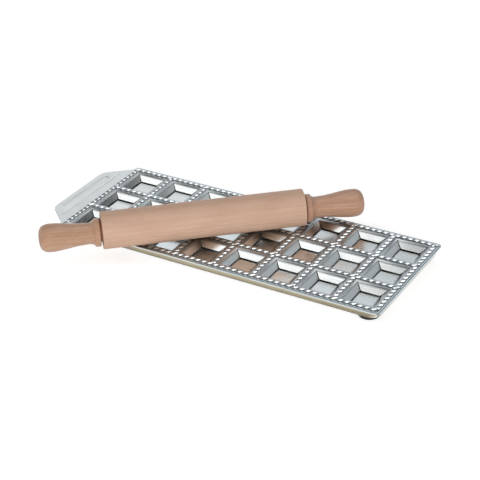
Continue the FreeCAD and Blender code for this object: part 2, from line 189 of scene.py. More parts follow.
def new_piece(name: str, patches: list[Patch], crease: float = TURNED_CREASE) -> bpy.types.Object:
    """Makes one object out of several patches of surface.

    Args:
        name: Name of the object.
        patches: Points and faces of each patch, in the part's own frame.
        crease: Angle in degrees from which an edge stays sharp.

    Returns:
        The linked object, which sits at the origin with its place in its mesh.
    """
    points = np.concatenate([patch[0] for patch in patches])
    faces = []
    first = 0
    for patch_points, patch_faces in patches:
        faces.extend([[first + corner for corner in face] for face in patch_faces])
        first += len(patch_points)
    mesh = bpy.data.meshes.new(name)
    mesh.from_pydata(points.tolist(), [], faces)
    piece = put_in_scene(name, mesh)
    smooth_finish(piece, crease)
    return piece


def merged_copy(node: str, name: str) -> bpy.types.Object:
    """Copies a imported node's mesh, with its loose triangles joined and its curved faces shaded smooth."""
    mesh = frame["nodes"][node].data.copy()
    mesh.name = name
    mesh.materials.clear()
    piece = put_in_scene(name, mesh)
    smooth_finish(piece, PRESSED_CREASE)
    return piece


def fit_out(piece: bpy.types.Object, body: str, node: str, material: bpy.types.Material) -> None:
    """Gives a piece its material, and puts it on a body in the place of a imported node."""
    piece.data.materials.clear()
    piece.data.materials.append(material)
    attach(piece, body)
    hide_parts(node)
    LOG.info("%s: %d points, for node %s on body %s", piece.name, len(piece.data.vertices), node, body)


# Materials
METAL = {"Metallic": 1.0}


class Recipe:
    """Builds the nodes of one material or world, a step at a time. Lengths inside it are millimetres."""

    def __init__(self, owner: bpy.types.Material | bpy.types.World) -> None:
        """Starts on the nodes that the owner comes with."""
        owner.use_nodes = True
        self.owner = owner
        self.tree = owner.node_tree

    @classmethod
    def new(cls, name: str) -> "Recipe":
        """Starts a new material."""
        return cls(bpy.data.materials.new(name))

    @cached_property
    def source(self) -> bpy.types.Node:
        """The node with the object's own coordinates and normals."""
        return self.node("TexCoord")

    def node(self, kind: str, inputs: dict | None = None, **settings: object) -> bpy.types.Node:
        """Adds a node of a kind, sets its own fields, and feeds its inputs."""
        made = self.tree.nodes.new(f"ShaderNode{kind}")
        for key, value in settings.items():
            setattr(made, key, value)
        self.feed(made, inputs or {})
        return made

    def feed(self, node: bpy.types.Node, inputs: dict) -> None:
        """Links inputs, given by name or number, to other sockets, or sets them to plain values."""
        for key, value in inputs.items():
            socket = node.inputs[key]
            if isinstance(value, Socket):
                self.tree.links.new(value, socket)
            elif socket.type == "RGBA":
                socket.default_value = (*value, 1.0)
            else:
                socket.default_value = value

    def placed(self, vector: Socket | None = None, scale: Triple = (1000.0,) * 3, turn: float = 0.0,
               shift: Triple = (0.0, 0.0, 0.0)) -> Socket:
        """Scales a vector, or the object's coordinates, then turns it about Z by radians, then moves it."""
        inputs = {"Vector": vector or self.source.outputs["Object"], "Scale": scale,
                  "Rotation": (0.0, 0.0, turn), "Location": shift}
        return self.node("Mapping", inputs).outputs["Vector"]

    def on_axis(self, middle: Vector, turn: float, slide: float = 0.0) -> Socket:
        """Coordinates from a middle, with X along an axis that is turned from X by radians."""
        undone = Matrix.Rotation(-turn, 3, "Z") @ (-1000 * middle)
        return self.placed(turn=-turn, shift=(undone.x + slide, undone.y, undone.z))

    def split(self, vector: Socket) -> tuple[Socket, ...]:
        """The three parts of a vector."""
        return tuple(self.node("SeparateXYZ", {0: vector}).outputs)

    def noise(self, vector: Socket, scale: float, detail: float = 3.0) -> Socket:
        """Cloudy values from 0 to 1."""
        inputs = {"Vector": vector, "Scale": scale, "Detail": detail, "Roughness": 0.6}
        return self.node("TexNoise", inputs).outputs["Fac"]

    def streaks(self, spot: Socket, scale: Triple, detail: float = 3.0) -> Socket:
        """Cloudy values from 0 to 1, drawn out along the way whose scale is smallest."""
        return self.noise(self.placed(spot, scale=scale), 1.0, detail)

    def math(self, operation: str, *values: object) -> Socket:
        """Arithmetic on one or two values, or on more of them in steps."""
        made = self.node("Math", dict(enumerate(values[:2])), operation=operation).outputs[0]
        return self.math(operation, made, *values[2:]) if len(values) > 2 else made

    def most(self, *values: object) -> Socket:
        """The highest value."""
        return self.math("MAXIMUM", *values)

    def times(self, *values: object) -> Socket:
        """The product of the values."""
        return self.math("MULTIPLY", *values)

    def less(self, value: object, taken: object) -> Socket:
        """What remains of a value when another one is taken from it."""
        return self.math("SUBTRACT", value, taken)

    def size(self, value: Socket) -> Socket:
        """A value without its sign."""
        return self.math("ABSOLUTE", value)

    def spread(self, value: object, low: float, high: float, out_low: float = 0.0,
               out_high: float = 1.0) -> Socket:
        """Eases a value's range low to high into the range out_low to out_high, and holds it beyond."""
        inputs = dict(enumerate((value, low, high, out_low, out_high)))
        return self.node("MapRange", inputs, interpolation_type="SMOOTHSTEP").outputs[0]

    def mix(self, amount: object, first: object, second: object) -> Socket:
        """Blends two colours."""
        return self.node("Mix", {0: amount, 6: first, 7: second}, data_type="RGBA").outputs[2]

    def tint(self, tone: object, other: Colour, mask: Socket, low: float, high: float,
             share: float) -> Socket:
        """Blends another colour in, up to a share, where a mask goes from low to high."""
        return self.mix(self.spread(mask, low, high, 0.0, share), tone, other)

    def seen_directly(self) -> Socket:
        """1 for rays from the camera, or by way of a reflection or glass, and 0 for light on the object."""
        path = self.node("LightPath").outputs
        return self.most(*(path[f"Is {kind} Ray"] for kind in ("Camera", "Glossy", "Transmission")))

    def finish(self, tone: Socket, roughness: Socket, relief: Socket, depth: float,
               others: dict | None = None) -> bpy.types.Material:
        """Feeds the main shader. The relief's full range lifts the surface by the depth, in metres."""
        bump = self.node("Bump", {"Height": relief, "Distance": depth, "Strength": 1.0}).outputs["Normal"]
        inputs = {"Base Color": tone, "Roughness": roughness, "Normal": bump} | (others or {})
        self.feed(self.tree.nodes["Principled BSDF"], inputs)
        return self.owner

    def surface(self, shader: bpy.types.Node) -> bpy.types.Material:
        """Puts another shader on the material's surface."""
        self.feed(self.tree.nodes["Material Output"], {"Surface": shader.outputs[0]})
        return self.owner


@dataclass(frozen=True)
class DrawnMetal:
    """Cool bright sheet metal with fine drawn lines, which run along X, or along Y on walls that face X.

    The tops of the pressed grid are painted a darker tone than the walls and the flange, as painted shade for
    the darker reflection that they show. The margin outside the grid is matt, with a dark line along its
    middle that is painted shade. The bends round the pockets and the cut edges of the flange are matt and
    painted dark, as painted shade. Where a mark begins and ends is given in millimetres past the grid, past
    its left end or over the land, and for edges as the upright part of the surface's normal.
    """

    name: str
    bright: Colour
    cloudy_and_shaded_tone: Colour
    margin: Colour
    painted_shade_line: Colour
    painted_shade_tone: Colour
    line: Colour
    smooth: float
    rough: float
    grid_end: Range = (-0.2, 0.5)
    shade_line_middle: float = 1.5
    shade_line_side: Range = (0.6, 0.2)
    flange_end: Range = (-1.6, 0.4)
    top_fade: Range = (-0.55, -0.1)
    bend_start: Range = (-0.01, -0.14)
    bend_stop: Range = (-1.9, -0.8)
    cut_edge: Range = (0.6, 0.3)
    pressed_edge: Range = (0.995, 0.9)
    bend_shade_share: float = 0.5
    bend_matt: float = 0.4
    margin_matt: float = 0.5
    matt_roughness: float = 0.34
    line_depth: float = 0.0008 * MM

    def material(self, middle: Vector, grid_half: tuple[float, float], land: float) -> bpy.types.Material:
        """Makes the material.

        Args:
            middle: Middle of the pocket grid, on the table.
            grid_half: Half length and half width of the pressed grid, up to the edges of its ridges.
            land: Height of the lands between the pockets.

        Returns:
            The sheet's material.
        """
        recipe = Recipe.new(self.name)
        spot = recipe.placed(shift=tuple(-1000 * middle))
        x, y, z = recipe.split(spot)
        normal = recipe.split(recipe.source.outputs["Normal"])
        facing_x, facing_up = recipe.size(normal[0]), recipe.size(normal[2])
        drawn = [recipe.streaks(spot, scale) for scale in ((0.035, 2.2, 2.2), (2.2, 0.035, 2.2))]
        lines = recipe.mix(recipe.spread(facing_x, 0.45, 0.6), *drawn)
        clouds = recipe.noise(spot, 0.045, 4.0)
        past = recipe.most(*(recipe.less(recipe.size(way), 1000 * half)
                             for way, half in zip((x, y), grid_half)))
        outside = recipe.spread(past, *self.grid_end)
        # Painted shade: a dark line along the middle of the margin outside the grid.
        painted_shade_line = recipe.spread(recipe.size(recipe.less(past, self.shade_line_middle)), *self.shade_line_side)
        off_flange = recipe.spread(recipe.math("ADD", x, 1000 * grid_half[0]), *self.flange_end)
        on_flange = recipe.less(1.0, off_flange)
        over_land = recipe.less(z, 1000 * land)
        on_top = recipe.times(recipe.most(recipe.spread(over_land, *self.top_fade), outside), off_flange)
        # Painted shade: the flange's side faces, where the normal is far from upright, are painted dark.
        edge_painted_shade = recipe.times(recipe.spread(facing_up, *self.cut_edge), on_flange)
        pressed = recipe.times(recipe.spread(facing_up, *self.pressed_edge), on_flange)
        # Painted shade: the sheet just below the land round the pockets is painted darker, down to about 2 mm
        # below it.
        bend_painted_shade = recipe.times(recipe.less(1.0, outside), off_flange,
                                 recipe.spread(over_land, *self.bend_start),
                                 recipe.spread(over_land, *self.bend_stop))
        margin = recipe.mix(painted_shade_line, self.margin, self.painted_shade_line)
        # Painted shade: the lands of the grid take a darker tone than the walls and the flange.
        tone = recipe.mix(on_top, self.bright, recipe.mix(outside, self.cloudy_and_shaded_tone, margin))
        tone = recipe.tint(tone, self.cloudy_and_shaded_tone, clouds, 0.3, 0.75, 0.16)
        tone = recipe.tint(tone, self.line, lines, 0.35, 0.8, 0.12)
        # The flange's side faces and the bends below the land take the dark tone of this painted shade.
        tone = recipe.mix(recipe.most(edge_painted_shade, recipe.times(bend_painted_shade, self.bend_shade_share)), tone, self.painted_shade_tone)
        matt = recipe.most(edge_painted_shade, pressed, recipe.times(bend_painted_shade, self.bend_matt),
                           recipe.times(outside, self.margin_matt))
        roughness = recipe.math("ADD", recipe.spread(lines, 0.25, 0.75, self.smooth, self.rough),
                                recipe.spread(clouds, 0.3, 0.8, 0.0, 0.06),
                                recipe.times(matt, self.matt_roughness))
        return recipe.finish(tone, roughness, lines, self.line_depth, METAL)


@dataclass(frozen=True)
class RopeMetal:
    """The sheet's metal on the ridges: burnished on the crests, rougher in the grooves and painted darker
    there as painted shade.
    """

    name: str
    crest: Colour
    groove_shade: Colour
    crest_roughness: float = 0.16
    groove_roughness: float = 0.42

    def material(self, foot: float, top: float) -> bpy.types.Material:
        """Makes the material for ridges between two heights."""
        recipe = Recipe.new(self.name)
        spot = recipe.placed()
        grain = recipe.noise(spot, 1.6, 4.0)
        uneven = recipe.math("ADD", recipe.split(spot)[2], recipe.spread(grain, 0.2, 0.8, -0.12, 0.12))
        rise = 1000 * (top - foot)
        worn = recipe.spread(uneven, 1000 * foot + 0.15 * rise, 1000 * foot + 0.8 * rise)
        # Painted shade: the grooves take the dark groove tone, which fades to the crest tone up the teeth by
        # height.
        tone = recipe.mix(worn, self.groove_shade, self.crest)
        roughness = recipe.spread(worn, 0.0, 1.0, self.groove_roughness, self.crest_roughness)
        return recipe.finish(tone, roughness, grain, 0.012 * MM, METAL)


@dataclass(frozen=True)
class PanMetal:
    """The base pan: light satin metal inside, a warm champagne coat on its outer sides, mill finish below.

    The coated sides begin at an inset from the pan's outline, in millimetres along X and along Y.
    """

    name: str
    inside: Colour
    coat: Colour
    patch: Colour
    below: Colour
    line: Colour
    side_inset: tuple[float, float] = (2.75, 1.95)

    def material(self, box: tuple[Vector, Vector]) -> bpy.types.Material:
        """Makes the material for a pan that fills the given box."""
        recipe = Recipe.new(self.name)
        low, high = box
        middle, half = (low + high) / 2, (high - low) / 2
        spot = recipe.placed(shift=(-1000 * middle.x, -1000 * middle.y, -1000 * low.z))
        x, y, z = recipe.split(spot)
        reach = recipe.most(*(recipe.less(recipe.size(way), 1000 * end - inset)
                              for way, end, inset in zip((x, y), half, self.side_inset)))
        coated = recipe.times(recipe.spread(reach, 0.0, 0.05), recipe.spread(z, 0.02, 0.06))
        grain = recipe.streaks(spot, (0.05, 2.6, 2.6))
        speckle = recipe.noise(spot, 3.1)
        clouds = recipe.noise(spot, 0.05, 4.0)
        bare = recipe.mix(recipe.spread(z, 0.35, 0.3), self.inside, self.below)
        coat = recipe.tint(self.coat, self.patch, clouds, 0.3, 0.7, 0.3)
        tone = recipe.tint(recipe.mix(coated, bare, coat), self.line, grain, 0.4, 0.8, 0.2)
        roughness = recipe.math("ADD", recipe.spread(speckle, 0.3, 0.7, 0.23, 0.27),
                                recipe.spread(coated, 0.0, 1.0, 0.0, 0.12))
        metallic = recipe.spread(coated, 0.0, 1.0, 1.0, 0.45)
        return recipe.finish(tone, roughness, grain, 0.002 * MM, {"Metallic": metallic})


@dataclass(frozen=True)
class Beech:
    """Sanded beech with growth rings about a heart beside the pin, fine fibres and short dark ray flecks.

    The heart's place, the slide along the axis and the step between rings are millimetres. Rings wander off
    their circles and change along the grain by the stretch. The figure is how strongly rings and fibres show,
    the gloss lowers the roughness, and the cut ends are darker.
    """

    name: str
    pale: Colour
    ring: Colour
    fibre: Colour
    fleck: Colour
    heart: tuple[float, float] = (31.0, -44.0)
    slide: float = 0.0
    ring_step: float = 3.4
    wander: float = 2.2
    figure: float = 0.4
    gloss: float = 0.0
    shine: float = 0.4
    stretch: float = 0.05
    fleck_share: float = 0.28

    def material(self, middle: Vector, turn: float) -> bpy.types.Material:
        """Makes the material for wood turned about an axis.

        Args:
            middle: A point on the axis.
            turn: Angle of the axis from X, in radians.

        Returns:
            The wood's material, whose grain runs along the axis.
        """
        recipe = Recipe.new(self.name)
        spot = recipe.on_axis(middle, turn, self.slide)
        around_heart = recipe.placed(spot, scale=(self.stretch, 1.0, 1.0), shift=(0.0, *self.heart))
        rings = recipe.node(
            "TexWave", {"Vector": around_heart, "Scale": 2 * math.pi / (20 * self.ring_step),
                        "Distortion": self.wander, "Detail": 2.0, "Detail Scale": 0.35},
            wave_type="RINGS", rings_direction="X", wave_profile="SAW")
        fibres = recipe.streaks(spot, (0.06, 1.3, 1.3), 5.0)
        clouds = recipe.streaks(spot, (0.03, 0.11, 0.11))
        long_spot = recipe.placed(spot, scale=(0.24, 1.6, 1.6))
        cells = recipe.node("TexVoronoi", {"Vector": long_spot, "Scale": 1.0}, feature="F1")
        chosen = recipe.math("GREATER_THAN", recipe.split(cells.outputs["Color"])[0], 1 - self.fleck_share)
        flecks = recipe.times(recipe.spread(cells.outputs["Distance"], 0.3, 0.12), chosen)
        axis = (math.cos(turn), math.sin(turn), 0.0)
        normal = recipe.source.outputs["Normal"]
        facing = recipe.node("VectorMath", {0: normal, 1: axis}, operation="DOT_PRODUCT").outputs["Value"]
        tone = recipe.tint(self.pale, self.ring, rings.outputs["Fac"], 0.1, 1.0, self.figure)
        tone = recipe.tint(tone, self.ring, clouds, 0.35, 0.7, 0.6)
        tone = recipe.tint(tone, self.fibre, fibres, 0.48, 0.75, 0.7 * self.figure)
        tone = recipe.mix(recipe.times(flecks, 0.3), tone, self.fleck)
        tone = recipe.tint(tone, self.fibre, recipe.size(facing), 0.8, 0.97, 0.5)
        roughness = recipe.spread(fibres, 0.3, 0.75, 0.5 - self.gloss, 0.64 - self.gloss)
        relief = recipe.less(fibres, recipe.times(flecks, 0.3))
        return recipe.finish(tone, roughness, relief, 0.03 * MM, {"Specular IOR Level": self.shine})


@dataclass(frozen=True)
class Moulded:
    """Rubber or plastic from a mould, with a fine grain and a little dust or wear."""

    name: str
    base: Colour
    worn: Colour
    roughness: float
    grain: float

    def material(self) -> bpy.types.Material:
        """Makes the material."""
        recipe = Recipe.new(self.name)
        spot = recipe.placed()
        grain = recipe.noise(spot, self.grain)
        tone = recipe.tint(self.base, self.worn, recipe.noise(spot, 0.25), 0.45, 0.8, 0.6)
        roughness = recipe.spread(grain, 0.3, 0.7, self.roughness - 0.06, self.roughness + 0.08)
        return recipe.finish(tone, roughness, grain, 0.03 * MM)


@dataclass(frozen=True)
class DrawnRod:
    """Bright drawn steel with fine lines along its axis."""

    name: str
    tone: Colour
    line: Colour

    def material(self, middle: Vector, turn: float) -> bpy.types.Material:
        """Makes the material for a rod through a point, turned from X by an angle in radians."""
        recipe = Recipe.new(self.name)
        lines = recipe.streaks(recipe.on_axis(middle, turn), (0.03, 5.0, 5.0))
        tone = recipe.tint(self.tone, self.line, lines, 0.4, 0.75, 0.5)
        roughness = recipe.spread(lines, 0.3, 0.7, 0.18, 0.32)
        return recipe.finish(tone, roughness, lines, 0.005 * MM, METAL)


# The sheet's darker tone for its lands, its margin's dark middle line and its dark edges and bends are painted
# shade.
SHEET_FINISH = DrawnMetal(
    "pressed_sheet", bright=shade(232, 235, 234), cloudy_and_shaded_tone=shade(212, 216, 217), margin=shade(228, 238, 239),
    painted_shade_line=shade(116, 130, 138), painted_shade_tone=shade(112, 120, 124), line=shade(120, 126, 130), smooth=0.14, rough=0.2)
# The ridges' groove tone is painted shade.
ROPE_FINISH = RopeMetal("pressed_ridge", crest=shade(236, 240, 241), groove_shade=shade(92, 99, 104))
PAN_FINISH = PanMetal(
    "satin_pan", inside=shade(240, 243, 241), coat=shade(190, 178, 148), patch=shade(150, 141, 116),
    below=shade(170, 172, 170), line=shade(128, 130, 128))
BARREL_FINISH = Beech(
    "barrel_beech", pale=shade(217, 182, 159), ring=shade(204, 166, 141), fibre=shade(184, 143, 117),
    fleck=shade(150, 104, 76), shine=0.2)
HANDLE_LOOK = {"wander": 8.0, "figure": 0.65, "gloss": 0.18, "shine": 0.55, "stretch": 0.14}
HANDLE_FINISHES = {
    PinEnd.LEFT: Beech(
        "left_handle_beech", pale=shade(199, 159, 132), ring=shade(180, 138, 110), fibre=shade(158, 114, 86),
        fleck=shade(132, 88, 62), heart=(-26.0, -30.0), slide=140.0, ring_step=2.6, **HANDLE_LOOK),
    PinEnd.RIGHT: Beech(
        "right_handle_beech", pale=shade(200, 158, 132), ring=shade(180, 136, 110), fibre=shade(158, 112, 86),
        fleck=shade(130, 84, 60), heart=(22.0, -36.0), slide=-210.0, ring_step=2.8, **HANDLE_LOOK),
}
FOOT_FINISH = Moulded("foot_rubber", shade(18, 18, 19), shade(34, 34, 35), roughness=0.55, grain=2.4)
BUSH_FINISH = Moulded("bush_plastic", shade(150, 94, 68), shade(164, 108, 80), roughness=0.42, grain=1.8)
ROD_FINISH = DrawnRod("drawn_steel", tone=shade(206, 208, 210), line=shade(150, 152, 156))


# Crimping ridges
@dataclass
class CrimpRidges:
    """The rope-like ridges round the pockets, as surfaces on one height map.

    The teeth stand where x - y, taken on the middle line of a ridge, is a whole number of tooth pitches from
    the corner of the grid. Across the ridge they lean forward, by their lean times the distance from the
    middle line. The height over the land is the ridge's rounded fall to its edge times a low root and the
    tooth's rounded crest.
    """

    body: str = "mould"
    columns: int = 8
    rows: int = 3
    teeth_per_pocket: float = 6.5
    solid_width: float = 3.2 * MM
    width: float = 3.7 * MM
    lean: float = math.tan(math.radians(30))
    root: float = 0.08
    tooth_half: float = 1.95 * MM
    crest_power: float = 1.7
    crest_round: float = 0.6
    edge_power: float = 5.0
    edge_round: float = 0.5
    crossing_span: float = 5.4 * MM
    crossing_half: float = 1.55 * MM
    buried: float = 0.1 * MM
    end_ease: float = 2.6 * MM
    end_gap: float = 0.12
    overlap: float = 0.15 * MM
    tooth_over: float = 1.02
    tooth_least: float = 0.02
    band_steps: tuple[float, ...] = (-0.5, -0.43, -0.4, -0.35, -0.26, -0.13,
                                     0.0, 0.13, 0.26, 0.35, 0.4, 0.43)
    across_steps: tuple[float, ...] = (-1.0, -0.96, -0.86, -0.6, 0.0, 0.6, 0.86, 0.96, 1.0)
    tooth_along: tuple[float, ...] = (-1.0, -0.97, -0.9, -0.7, -0.35, 0.0, 0.35, 0.7, 0.9, 0.97, 1.0)
    tooth_across: tuple[float, ...] = (-1.0, -0.96, -0.85, -0.6, -0.3, 0.0, 0.3, 0.6, 0.85, 0.96, 1.0)
    middle: Vector = field(init=False)
    half_length: float = field(init=False)
    half_width: float = field(init=False)
    land: float = field(init=False)
    height: float = field(init=False)
    pitch: float = field(init=False)

    def __post_init__(self) -> None:
        """Reads the grid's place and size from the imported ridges."""
        low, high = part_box("long_ridges")
        self.middle = Vector(((low.x + high.x) / 2, (low.y + high.y) / 2, 0.0))
        self.half_length = (high.x - low.x - self.solid_width) / 2
        self.half_width = (high.y - low.y - self.solid_width) / 2
        self.land = low.z
        self.height = high.z - low.z
        self.pitch = self.pocket / self.teeth_per_pocket

    @property
    def pocket(self) -> float:
        """Distance from one pocket to the next."""
        return 2 * self.half_length / self.columns

    def lines(self, run: Run) -> np.ndarray:
        """Places of the ridges that run one way, from the middle of the grid."""
        count = self.rows if run is Run.ALONG else self.columns
        return (np.arange(count + 1) - count / 2) * self.pocket

    def edge_fall(self, share: np.ndarray) -> np.ndarray:
        """Fall from 1 at a ridge's middle to 0 at its edge: one less the share to a power, to a power."""
        return np.clip(1 - np.clip(share, 0, 1) ** self.edge_power, 0, 1) ** self.edge_round

    def crest(self, share: np.ndarray) -> np.ndarray:
        """Rounded crest from 1 at a tooth's middle line to 0 at its foot, by the same form of formula."""
        return np.clip(1 - np.clip(share, 0, 1) ** self.crest_power, 0, 1) ** self.crest_round

    def lift(self, run: Run, fixed: float, x: np.ndarray, y: np.ndarray) -> np.ndarray:
        """Height over the land at points of one ridge, measured from the middle of the grid."""
        if run is Run.ALONG:
            on_line = x - self.lean * (y - fixed) - fixed
        else:
            on_line = fixed + self.lean * (x - fixed) - y
        band = (on_line + self.half_length + self.half_width) / self.pitch
        from_tooth = np.abs(band - np.round(band)) * self.pitch / math.hypot(1, self.lean)
        beyond_x = np.clip(np.abs(x) - self.half_length, 0, None)
        beyond_y = np.clip(np.abs(y) - self.half_width, 0, None)
        to_long = np.abs(y[..., None] - self.lines(Run.ALONG)).min(-1)
        to_cross = np.abs(x[..., None] - self.lines(Run.ACROSS)).min(-1)
        nearest = np.minimum(np.hypot(to_long, beyond_x), np.hypot(to_cross, beyond_y))
        fall = self.edge_fall(nearest / (self.width / 2))
        return self.height * fall * (self.root + (1 - self.root) * self.crest(from_tooth / self.tooth_half))

    def closed_section(self, x: np.ndarray, y: np.ndarray, z: np.ndarray) -> np.ndarray:
        """Moves a surface to the part's frame, and adds buried points along all four of its edges."""
        points = np.stack([x + self.middle.x, y + self.middle.y, z + self.land], -1)
        points = np.concatenate([points[:, :1], points, points[:, -1:]], axis=1)
        points = np.concatenate([points[:1], points, points[-1:]], axis=0)
        points[:, [0, -1], 2] = self.land - self.buried
        points[[0, -1], :, 2] = self.land - self.buried
        return points

    def ridge(self, run: Run, fixed: float, low: float, high: float) -> Patch:
        """One straight ridge, on a grid that is slanted like its teeth.

        Each row of the grid follows one slanting band: a point's place along the ridge is the row's place
        plus the lean times its distance across. The slant eases out to nothing at both square ends.

        Args:
            run: The way that the ridge runs.
            fixed: Its place across that way, from the middle of the grid.
            low: Its lower end along that way.
            high: Its upper end.

        Returns:
            Points and faces of the closed ridge.
        """
        corner = self.half_length + self.half_width
        first_band = fixed - corner if run is Run.ALONG else fixed + corner
        sign = 1 if run is Run.ALONG else -1
        count = int((high - low) / self.pitch) + 3
        start = math.floor(sign * ((low if sign > 0 else high) - first_band) / self.pitch) - 1
        bands = (start + np.arange(count)[:, None] + np.array(self.band_steps)[None, :]).ravel()
        places = np.sort(first_band + sign * bands * self.pitch)
        margin = self.end_gap * self.pitch
        places = places[(places > low + margin) & (places < high - margin)]
        places = np.concatenate([[low], places, [high]])[:, None]
        across = np.array(self.across_steps)[None, :] * self.width / 2
        slant = self.lean * np.clip(np.minimum(places - low, high - places) / self.end_ease, 0, 1)
        along = places + across * slant
        across = across + 0 * along
        x, y = (along, fixed + across) if run is Run.ALONG else (fixed + across, along)
        return tube_patch(self.closed_section(x, y, self.lift(run, fixed, x, y)))

    def crossing_tooth(self, x: float, y: float) -> Patch:
        """The longer tooth on a crossing, cut short where the grid's frame ends.

        Rows run across the tooth and columns along its slanting axis. The height is the crest's formula
        times a fall towards both ends, a hair over the ridge so that it covers the tooth below.

        Args:
            x: Place of the crossing along the tray, from the middle of the grid.
            y: Its place across the tray.

        Returns:
            Points and faces of the closed tooth.
        """
        limit_x = self.half_length + self.width / 2
        limit_y = self.half_width + self.width / 2
        low = max(-self.crossing_span / 2, -limit_x - x, -limit_y - y)
        high = min(self.crossing_span / 2, limit_x - x, limit_y - y)
        along = np.array(self.tooth_along)
        steps = (low + high) / 2 + along * (high - low) / 2
        share = np.array(self.tooth_across)
        fall = self.edge_fall(np.abs(along))[None, :]
        sideways = share[:, None] * self.crossing_half / math.sqrt(2)
        px = x + steps[None, :] + sideways
        py = y + steps[None, :] - sideways
        rounded = self.tooth_over * self.crest(np.abs(share))[:, None] * fall
        z = self.height * np.maximum(rounded, self.tooth_least) + 0 * px
        return tube_patch(self.closed_section(px, py, z))

    def build(self) -> None:
        """Makes the long ridges with their crossing teeth, and the short ridges between them."""
        end = self.half_length + self.width / 2
        reach = self.width / 2 - self.overlap
        long_lines = self.lines(Run.ALONG)
        cross_lines = self.lines(Run.ACROSS)
        ropes = [self.ridge(Run.ALONG, y, -end, end) for y in long_lines]
        teeth = [
            self.crossing_tooth(x, y)
            for i, x in enumerate(cross_lines) for j, y in enumerate(long_lines) if (i - j) % 2 == 1
        ]
        shorts = [
            self.ridge(Run.ACROSS, x, low + reach, high - reach)
            for x in cross_lines for low, high in zip(long_lines[:-1], long_lines[1:])
        ]
        metal = ROPE_FINISH.material(self.land, self.land + self.height)
        for way, patches in (("long", ropes + teeth), ("cross", shorts)):
            ridges = new_piece(f"{way}_rope_ridges", patches, ROPE_CREASE)
            fit_out(ridges, self.body, f"{way}_ridges", metal)


@dataclass
class Tray:
    """The pressed sheet with its pockets and flange, the pan below it and the four rubber feet."""

    ridges: CrimpRidges
    body: str = "mould"
    slit_reach: float = 2.6 * MM
    slit_closing: float = 0.7 * MM
    slit_clear: float = 0.02 * MM
    bend_fall: float = 1.2 * MM
    foot_draft: float = 0.4 * MM
    foot_round: float = 0.8 * MM
    foot_segments: int = 96

    def close_slits(self, sheet: bpy.types.Object) -> None:
        """Narrows the slits in the pockets' corners on a copy of the pressed sheet.

        A front or back flap lies where a point is further from its pocket's middle in y than in x. The points
        beside its slits slide outward along X, within the flap's own plane, by a share of the closing that
        grows from 0 on the land to 1 below the bend.

        Args:
            sheet: The copy, whose mesh is changed.
        """
        grid = self.ridges
        points = np.empty(3 * len(sheet.data.vertices), np.float32)
        sheet.data.vertices.foreach_get("co", points)
        points = points.reshape(-1, 3)
        x, y = points[:, 0] - grid.middle.x, points[:, 1] - grid.middle.y
        within = (np.abs(x) < grid.half_length) & (np.abs(y) < grid.half_width)
        from_x = np.mod(x + grid.half_length, grid.pocket) - grid.pocket / 2
        from_y = np.mod(y + grid.half_width, grid.pocket) - grid.pocket / 2
        past_diagonal = np.abs(from_y) - np.abs(from_x)
        beside_slit = within & (past_diagonal > self.slit_clear) & (past_diagonal < self.slit_reach)
        share = np.clip((grid.land - points[:, 2]) / self.bend_fall, 0, 1)
        points[:, 0] += beside_slit * np.sign(from_x) * share * self.slit_closing
        sheet.data.vertices.foreach_set("co", points.ravel())
        sheet.data.update()

    def build_sheet(self) -> None:
        """Smooths and dresses the pressed sheet."""
        grid = self.ridges
        half = (grid.half_length + grid.width / 2, grid.half_width + grid.width / 2)
        metal = SHEET_FINISH.material(grid.middle, half, grid.land)
        sheet = merged_copy("mould_sheet", "pressed_sheet")
        self.close_slits(sheet)
        fit_out(sheet, self.body, "mould_sheet", metal)

    def build_pan(self) -> None:
        """Smooths and dresses the pan."""
        pan = merged_copy("base_pan", "lower_pan")
        fit_out(pan, self.body, "base_pan", PAN_FINISH.material(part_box("base_pan")))

    def foot_profile(self, radius: float, height: float) -> np.ndarray:
        """Half section of a foot as (height, radius): flat sole, rounded edge, leaning side and flat top."""
        lean = math.degrees(math.atan2(self.foot_draft, height))
        tip = radius - self.foot_draft
        rounding = arc((self.foot_round, tip - self.foot_round), self.foot_round, 180, 90 - lean, steps=8)
        return np.concatenate([[[0, 0]], rounding, [[height, radius], [height, 0]]])

    def build_feet(self) -> None:
        """Turns the four feet about their upright axes."""
        rubber = FOOT_FINISH.material()
        for node in sorted(name for name in frame["nodes"] if name.startswith("foot_")):
            low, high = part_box(node)
            profile = self.foot_profile((high.x - low.x) / 2, high.z - low.z)
            points, faces = revolve(profile, self.foot_segments)
            centre = (low + high) / 2
            upright = np.stack([points[:, 1] + centre.x, points[:, 2] + centre.y, points[:, 0] + low.z], -1)
            foot = new_piece(f"rubber_{node}", [(upright, faces)])
            fit_out(foot, self.body, node, rubber)

    def build(self) -> None:
        """Makes all pieces of the tray."""
        self.build_sheet()
        self.build_pan()
        self.build_feet()


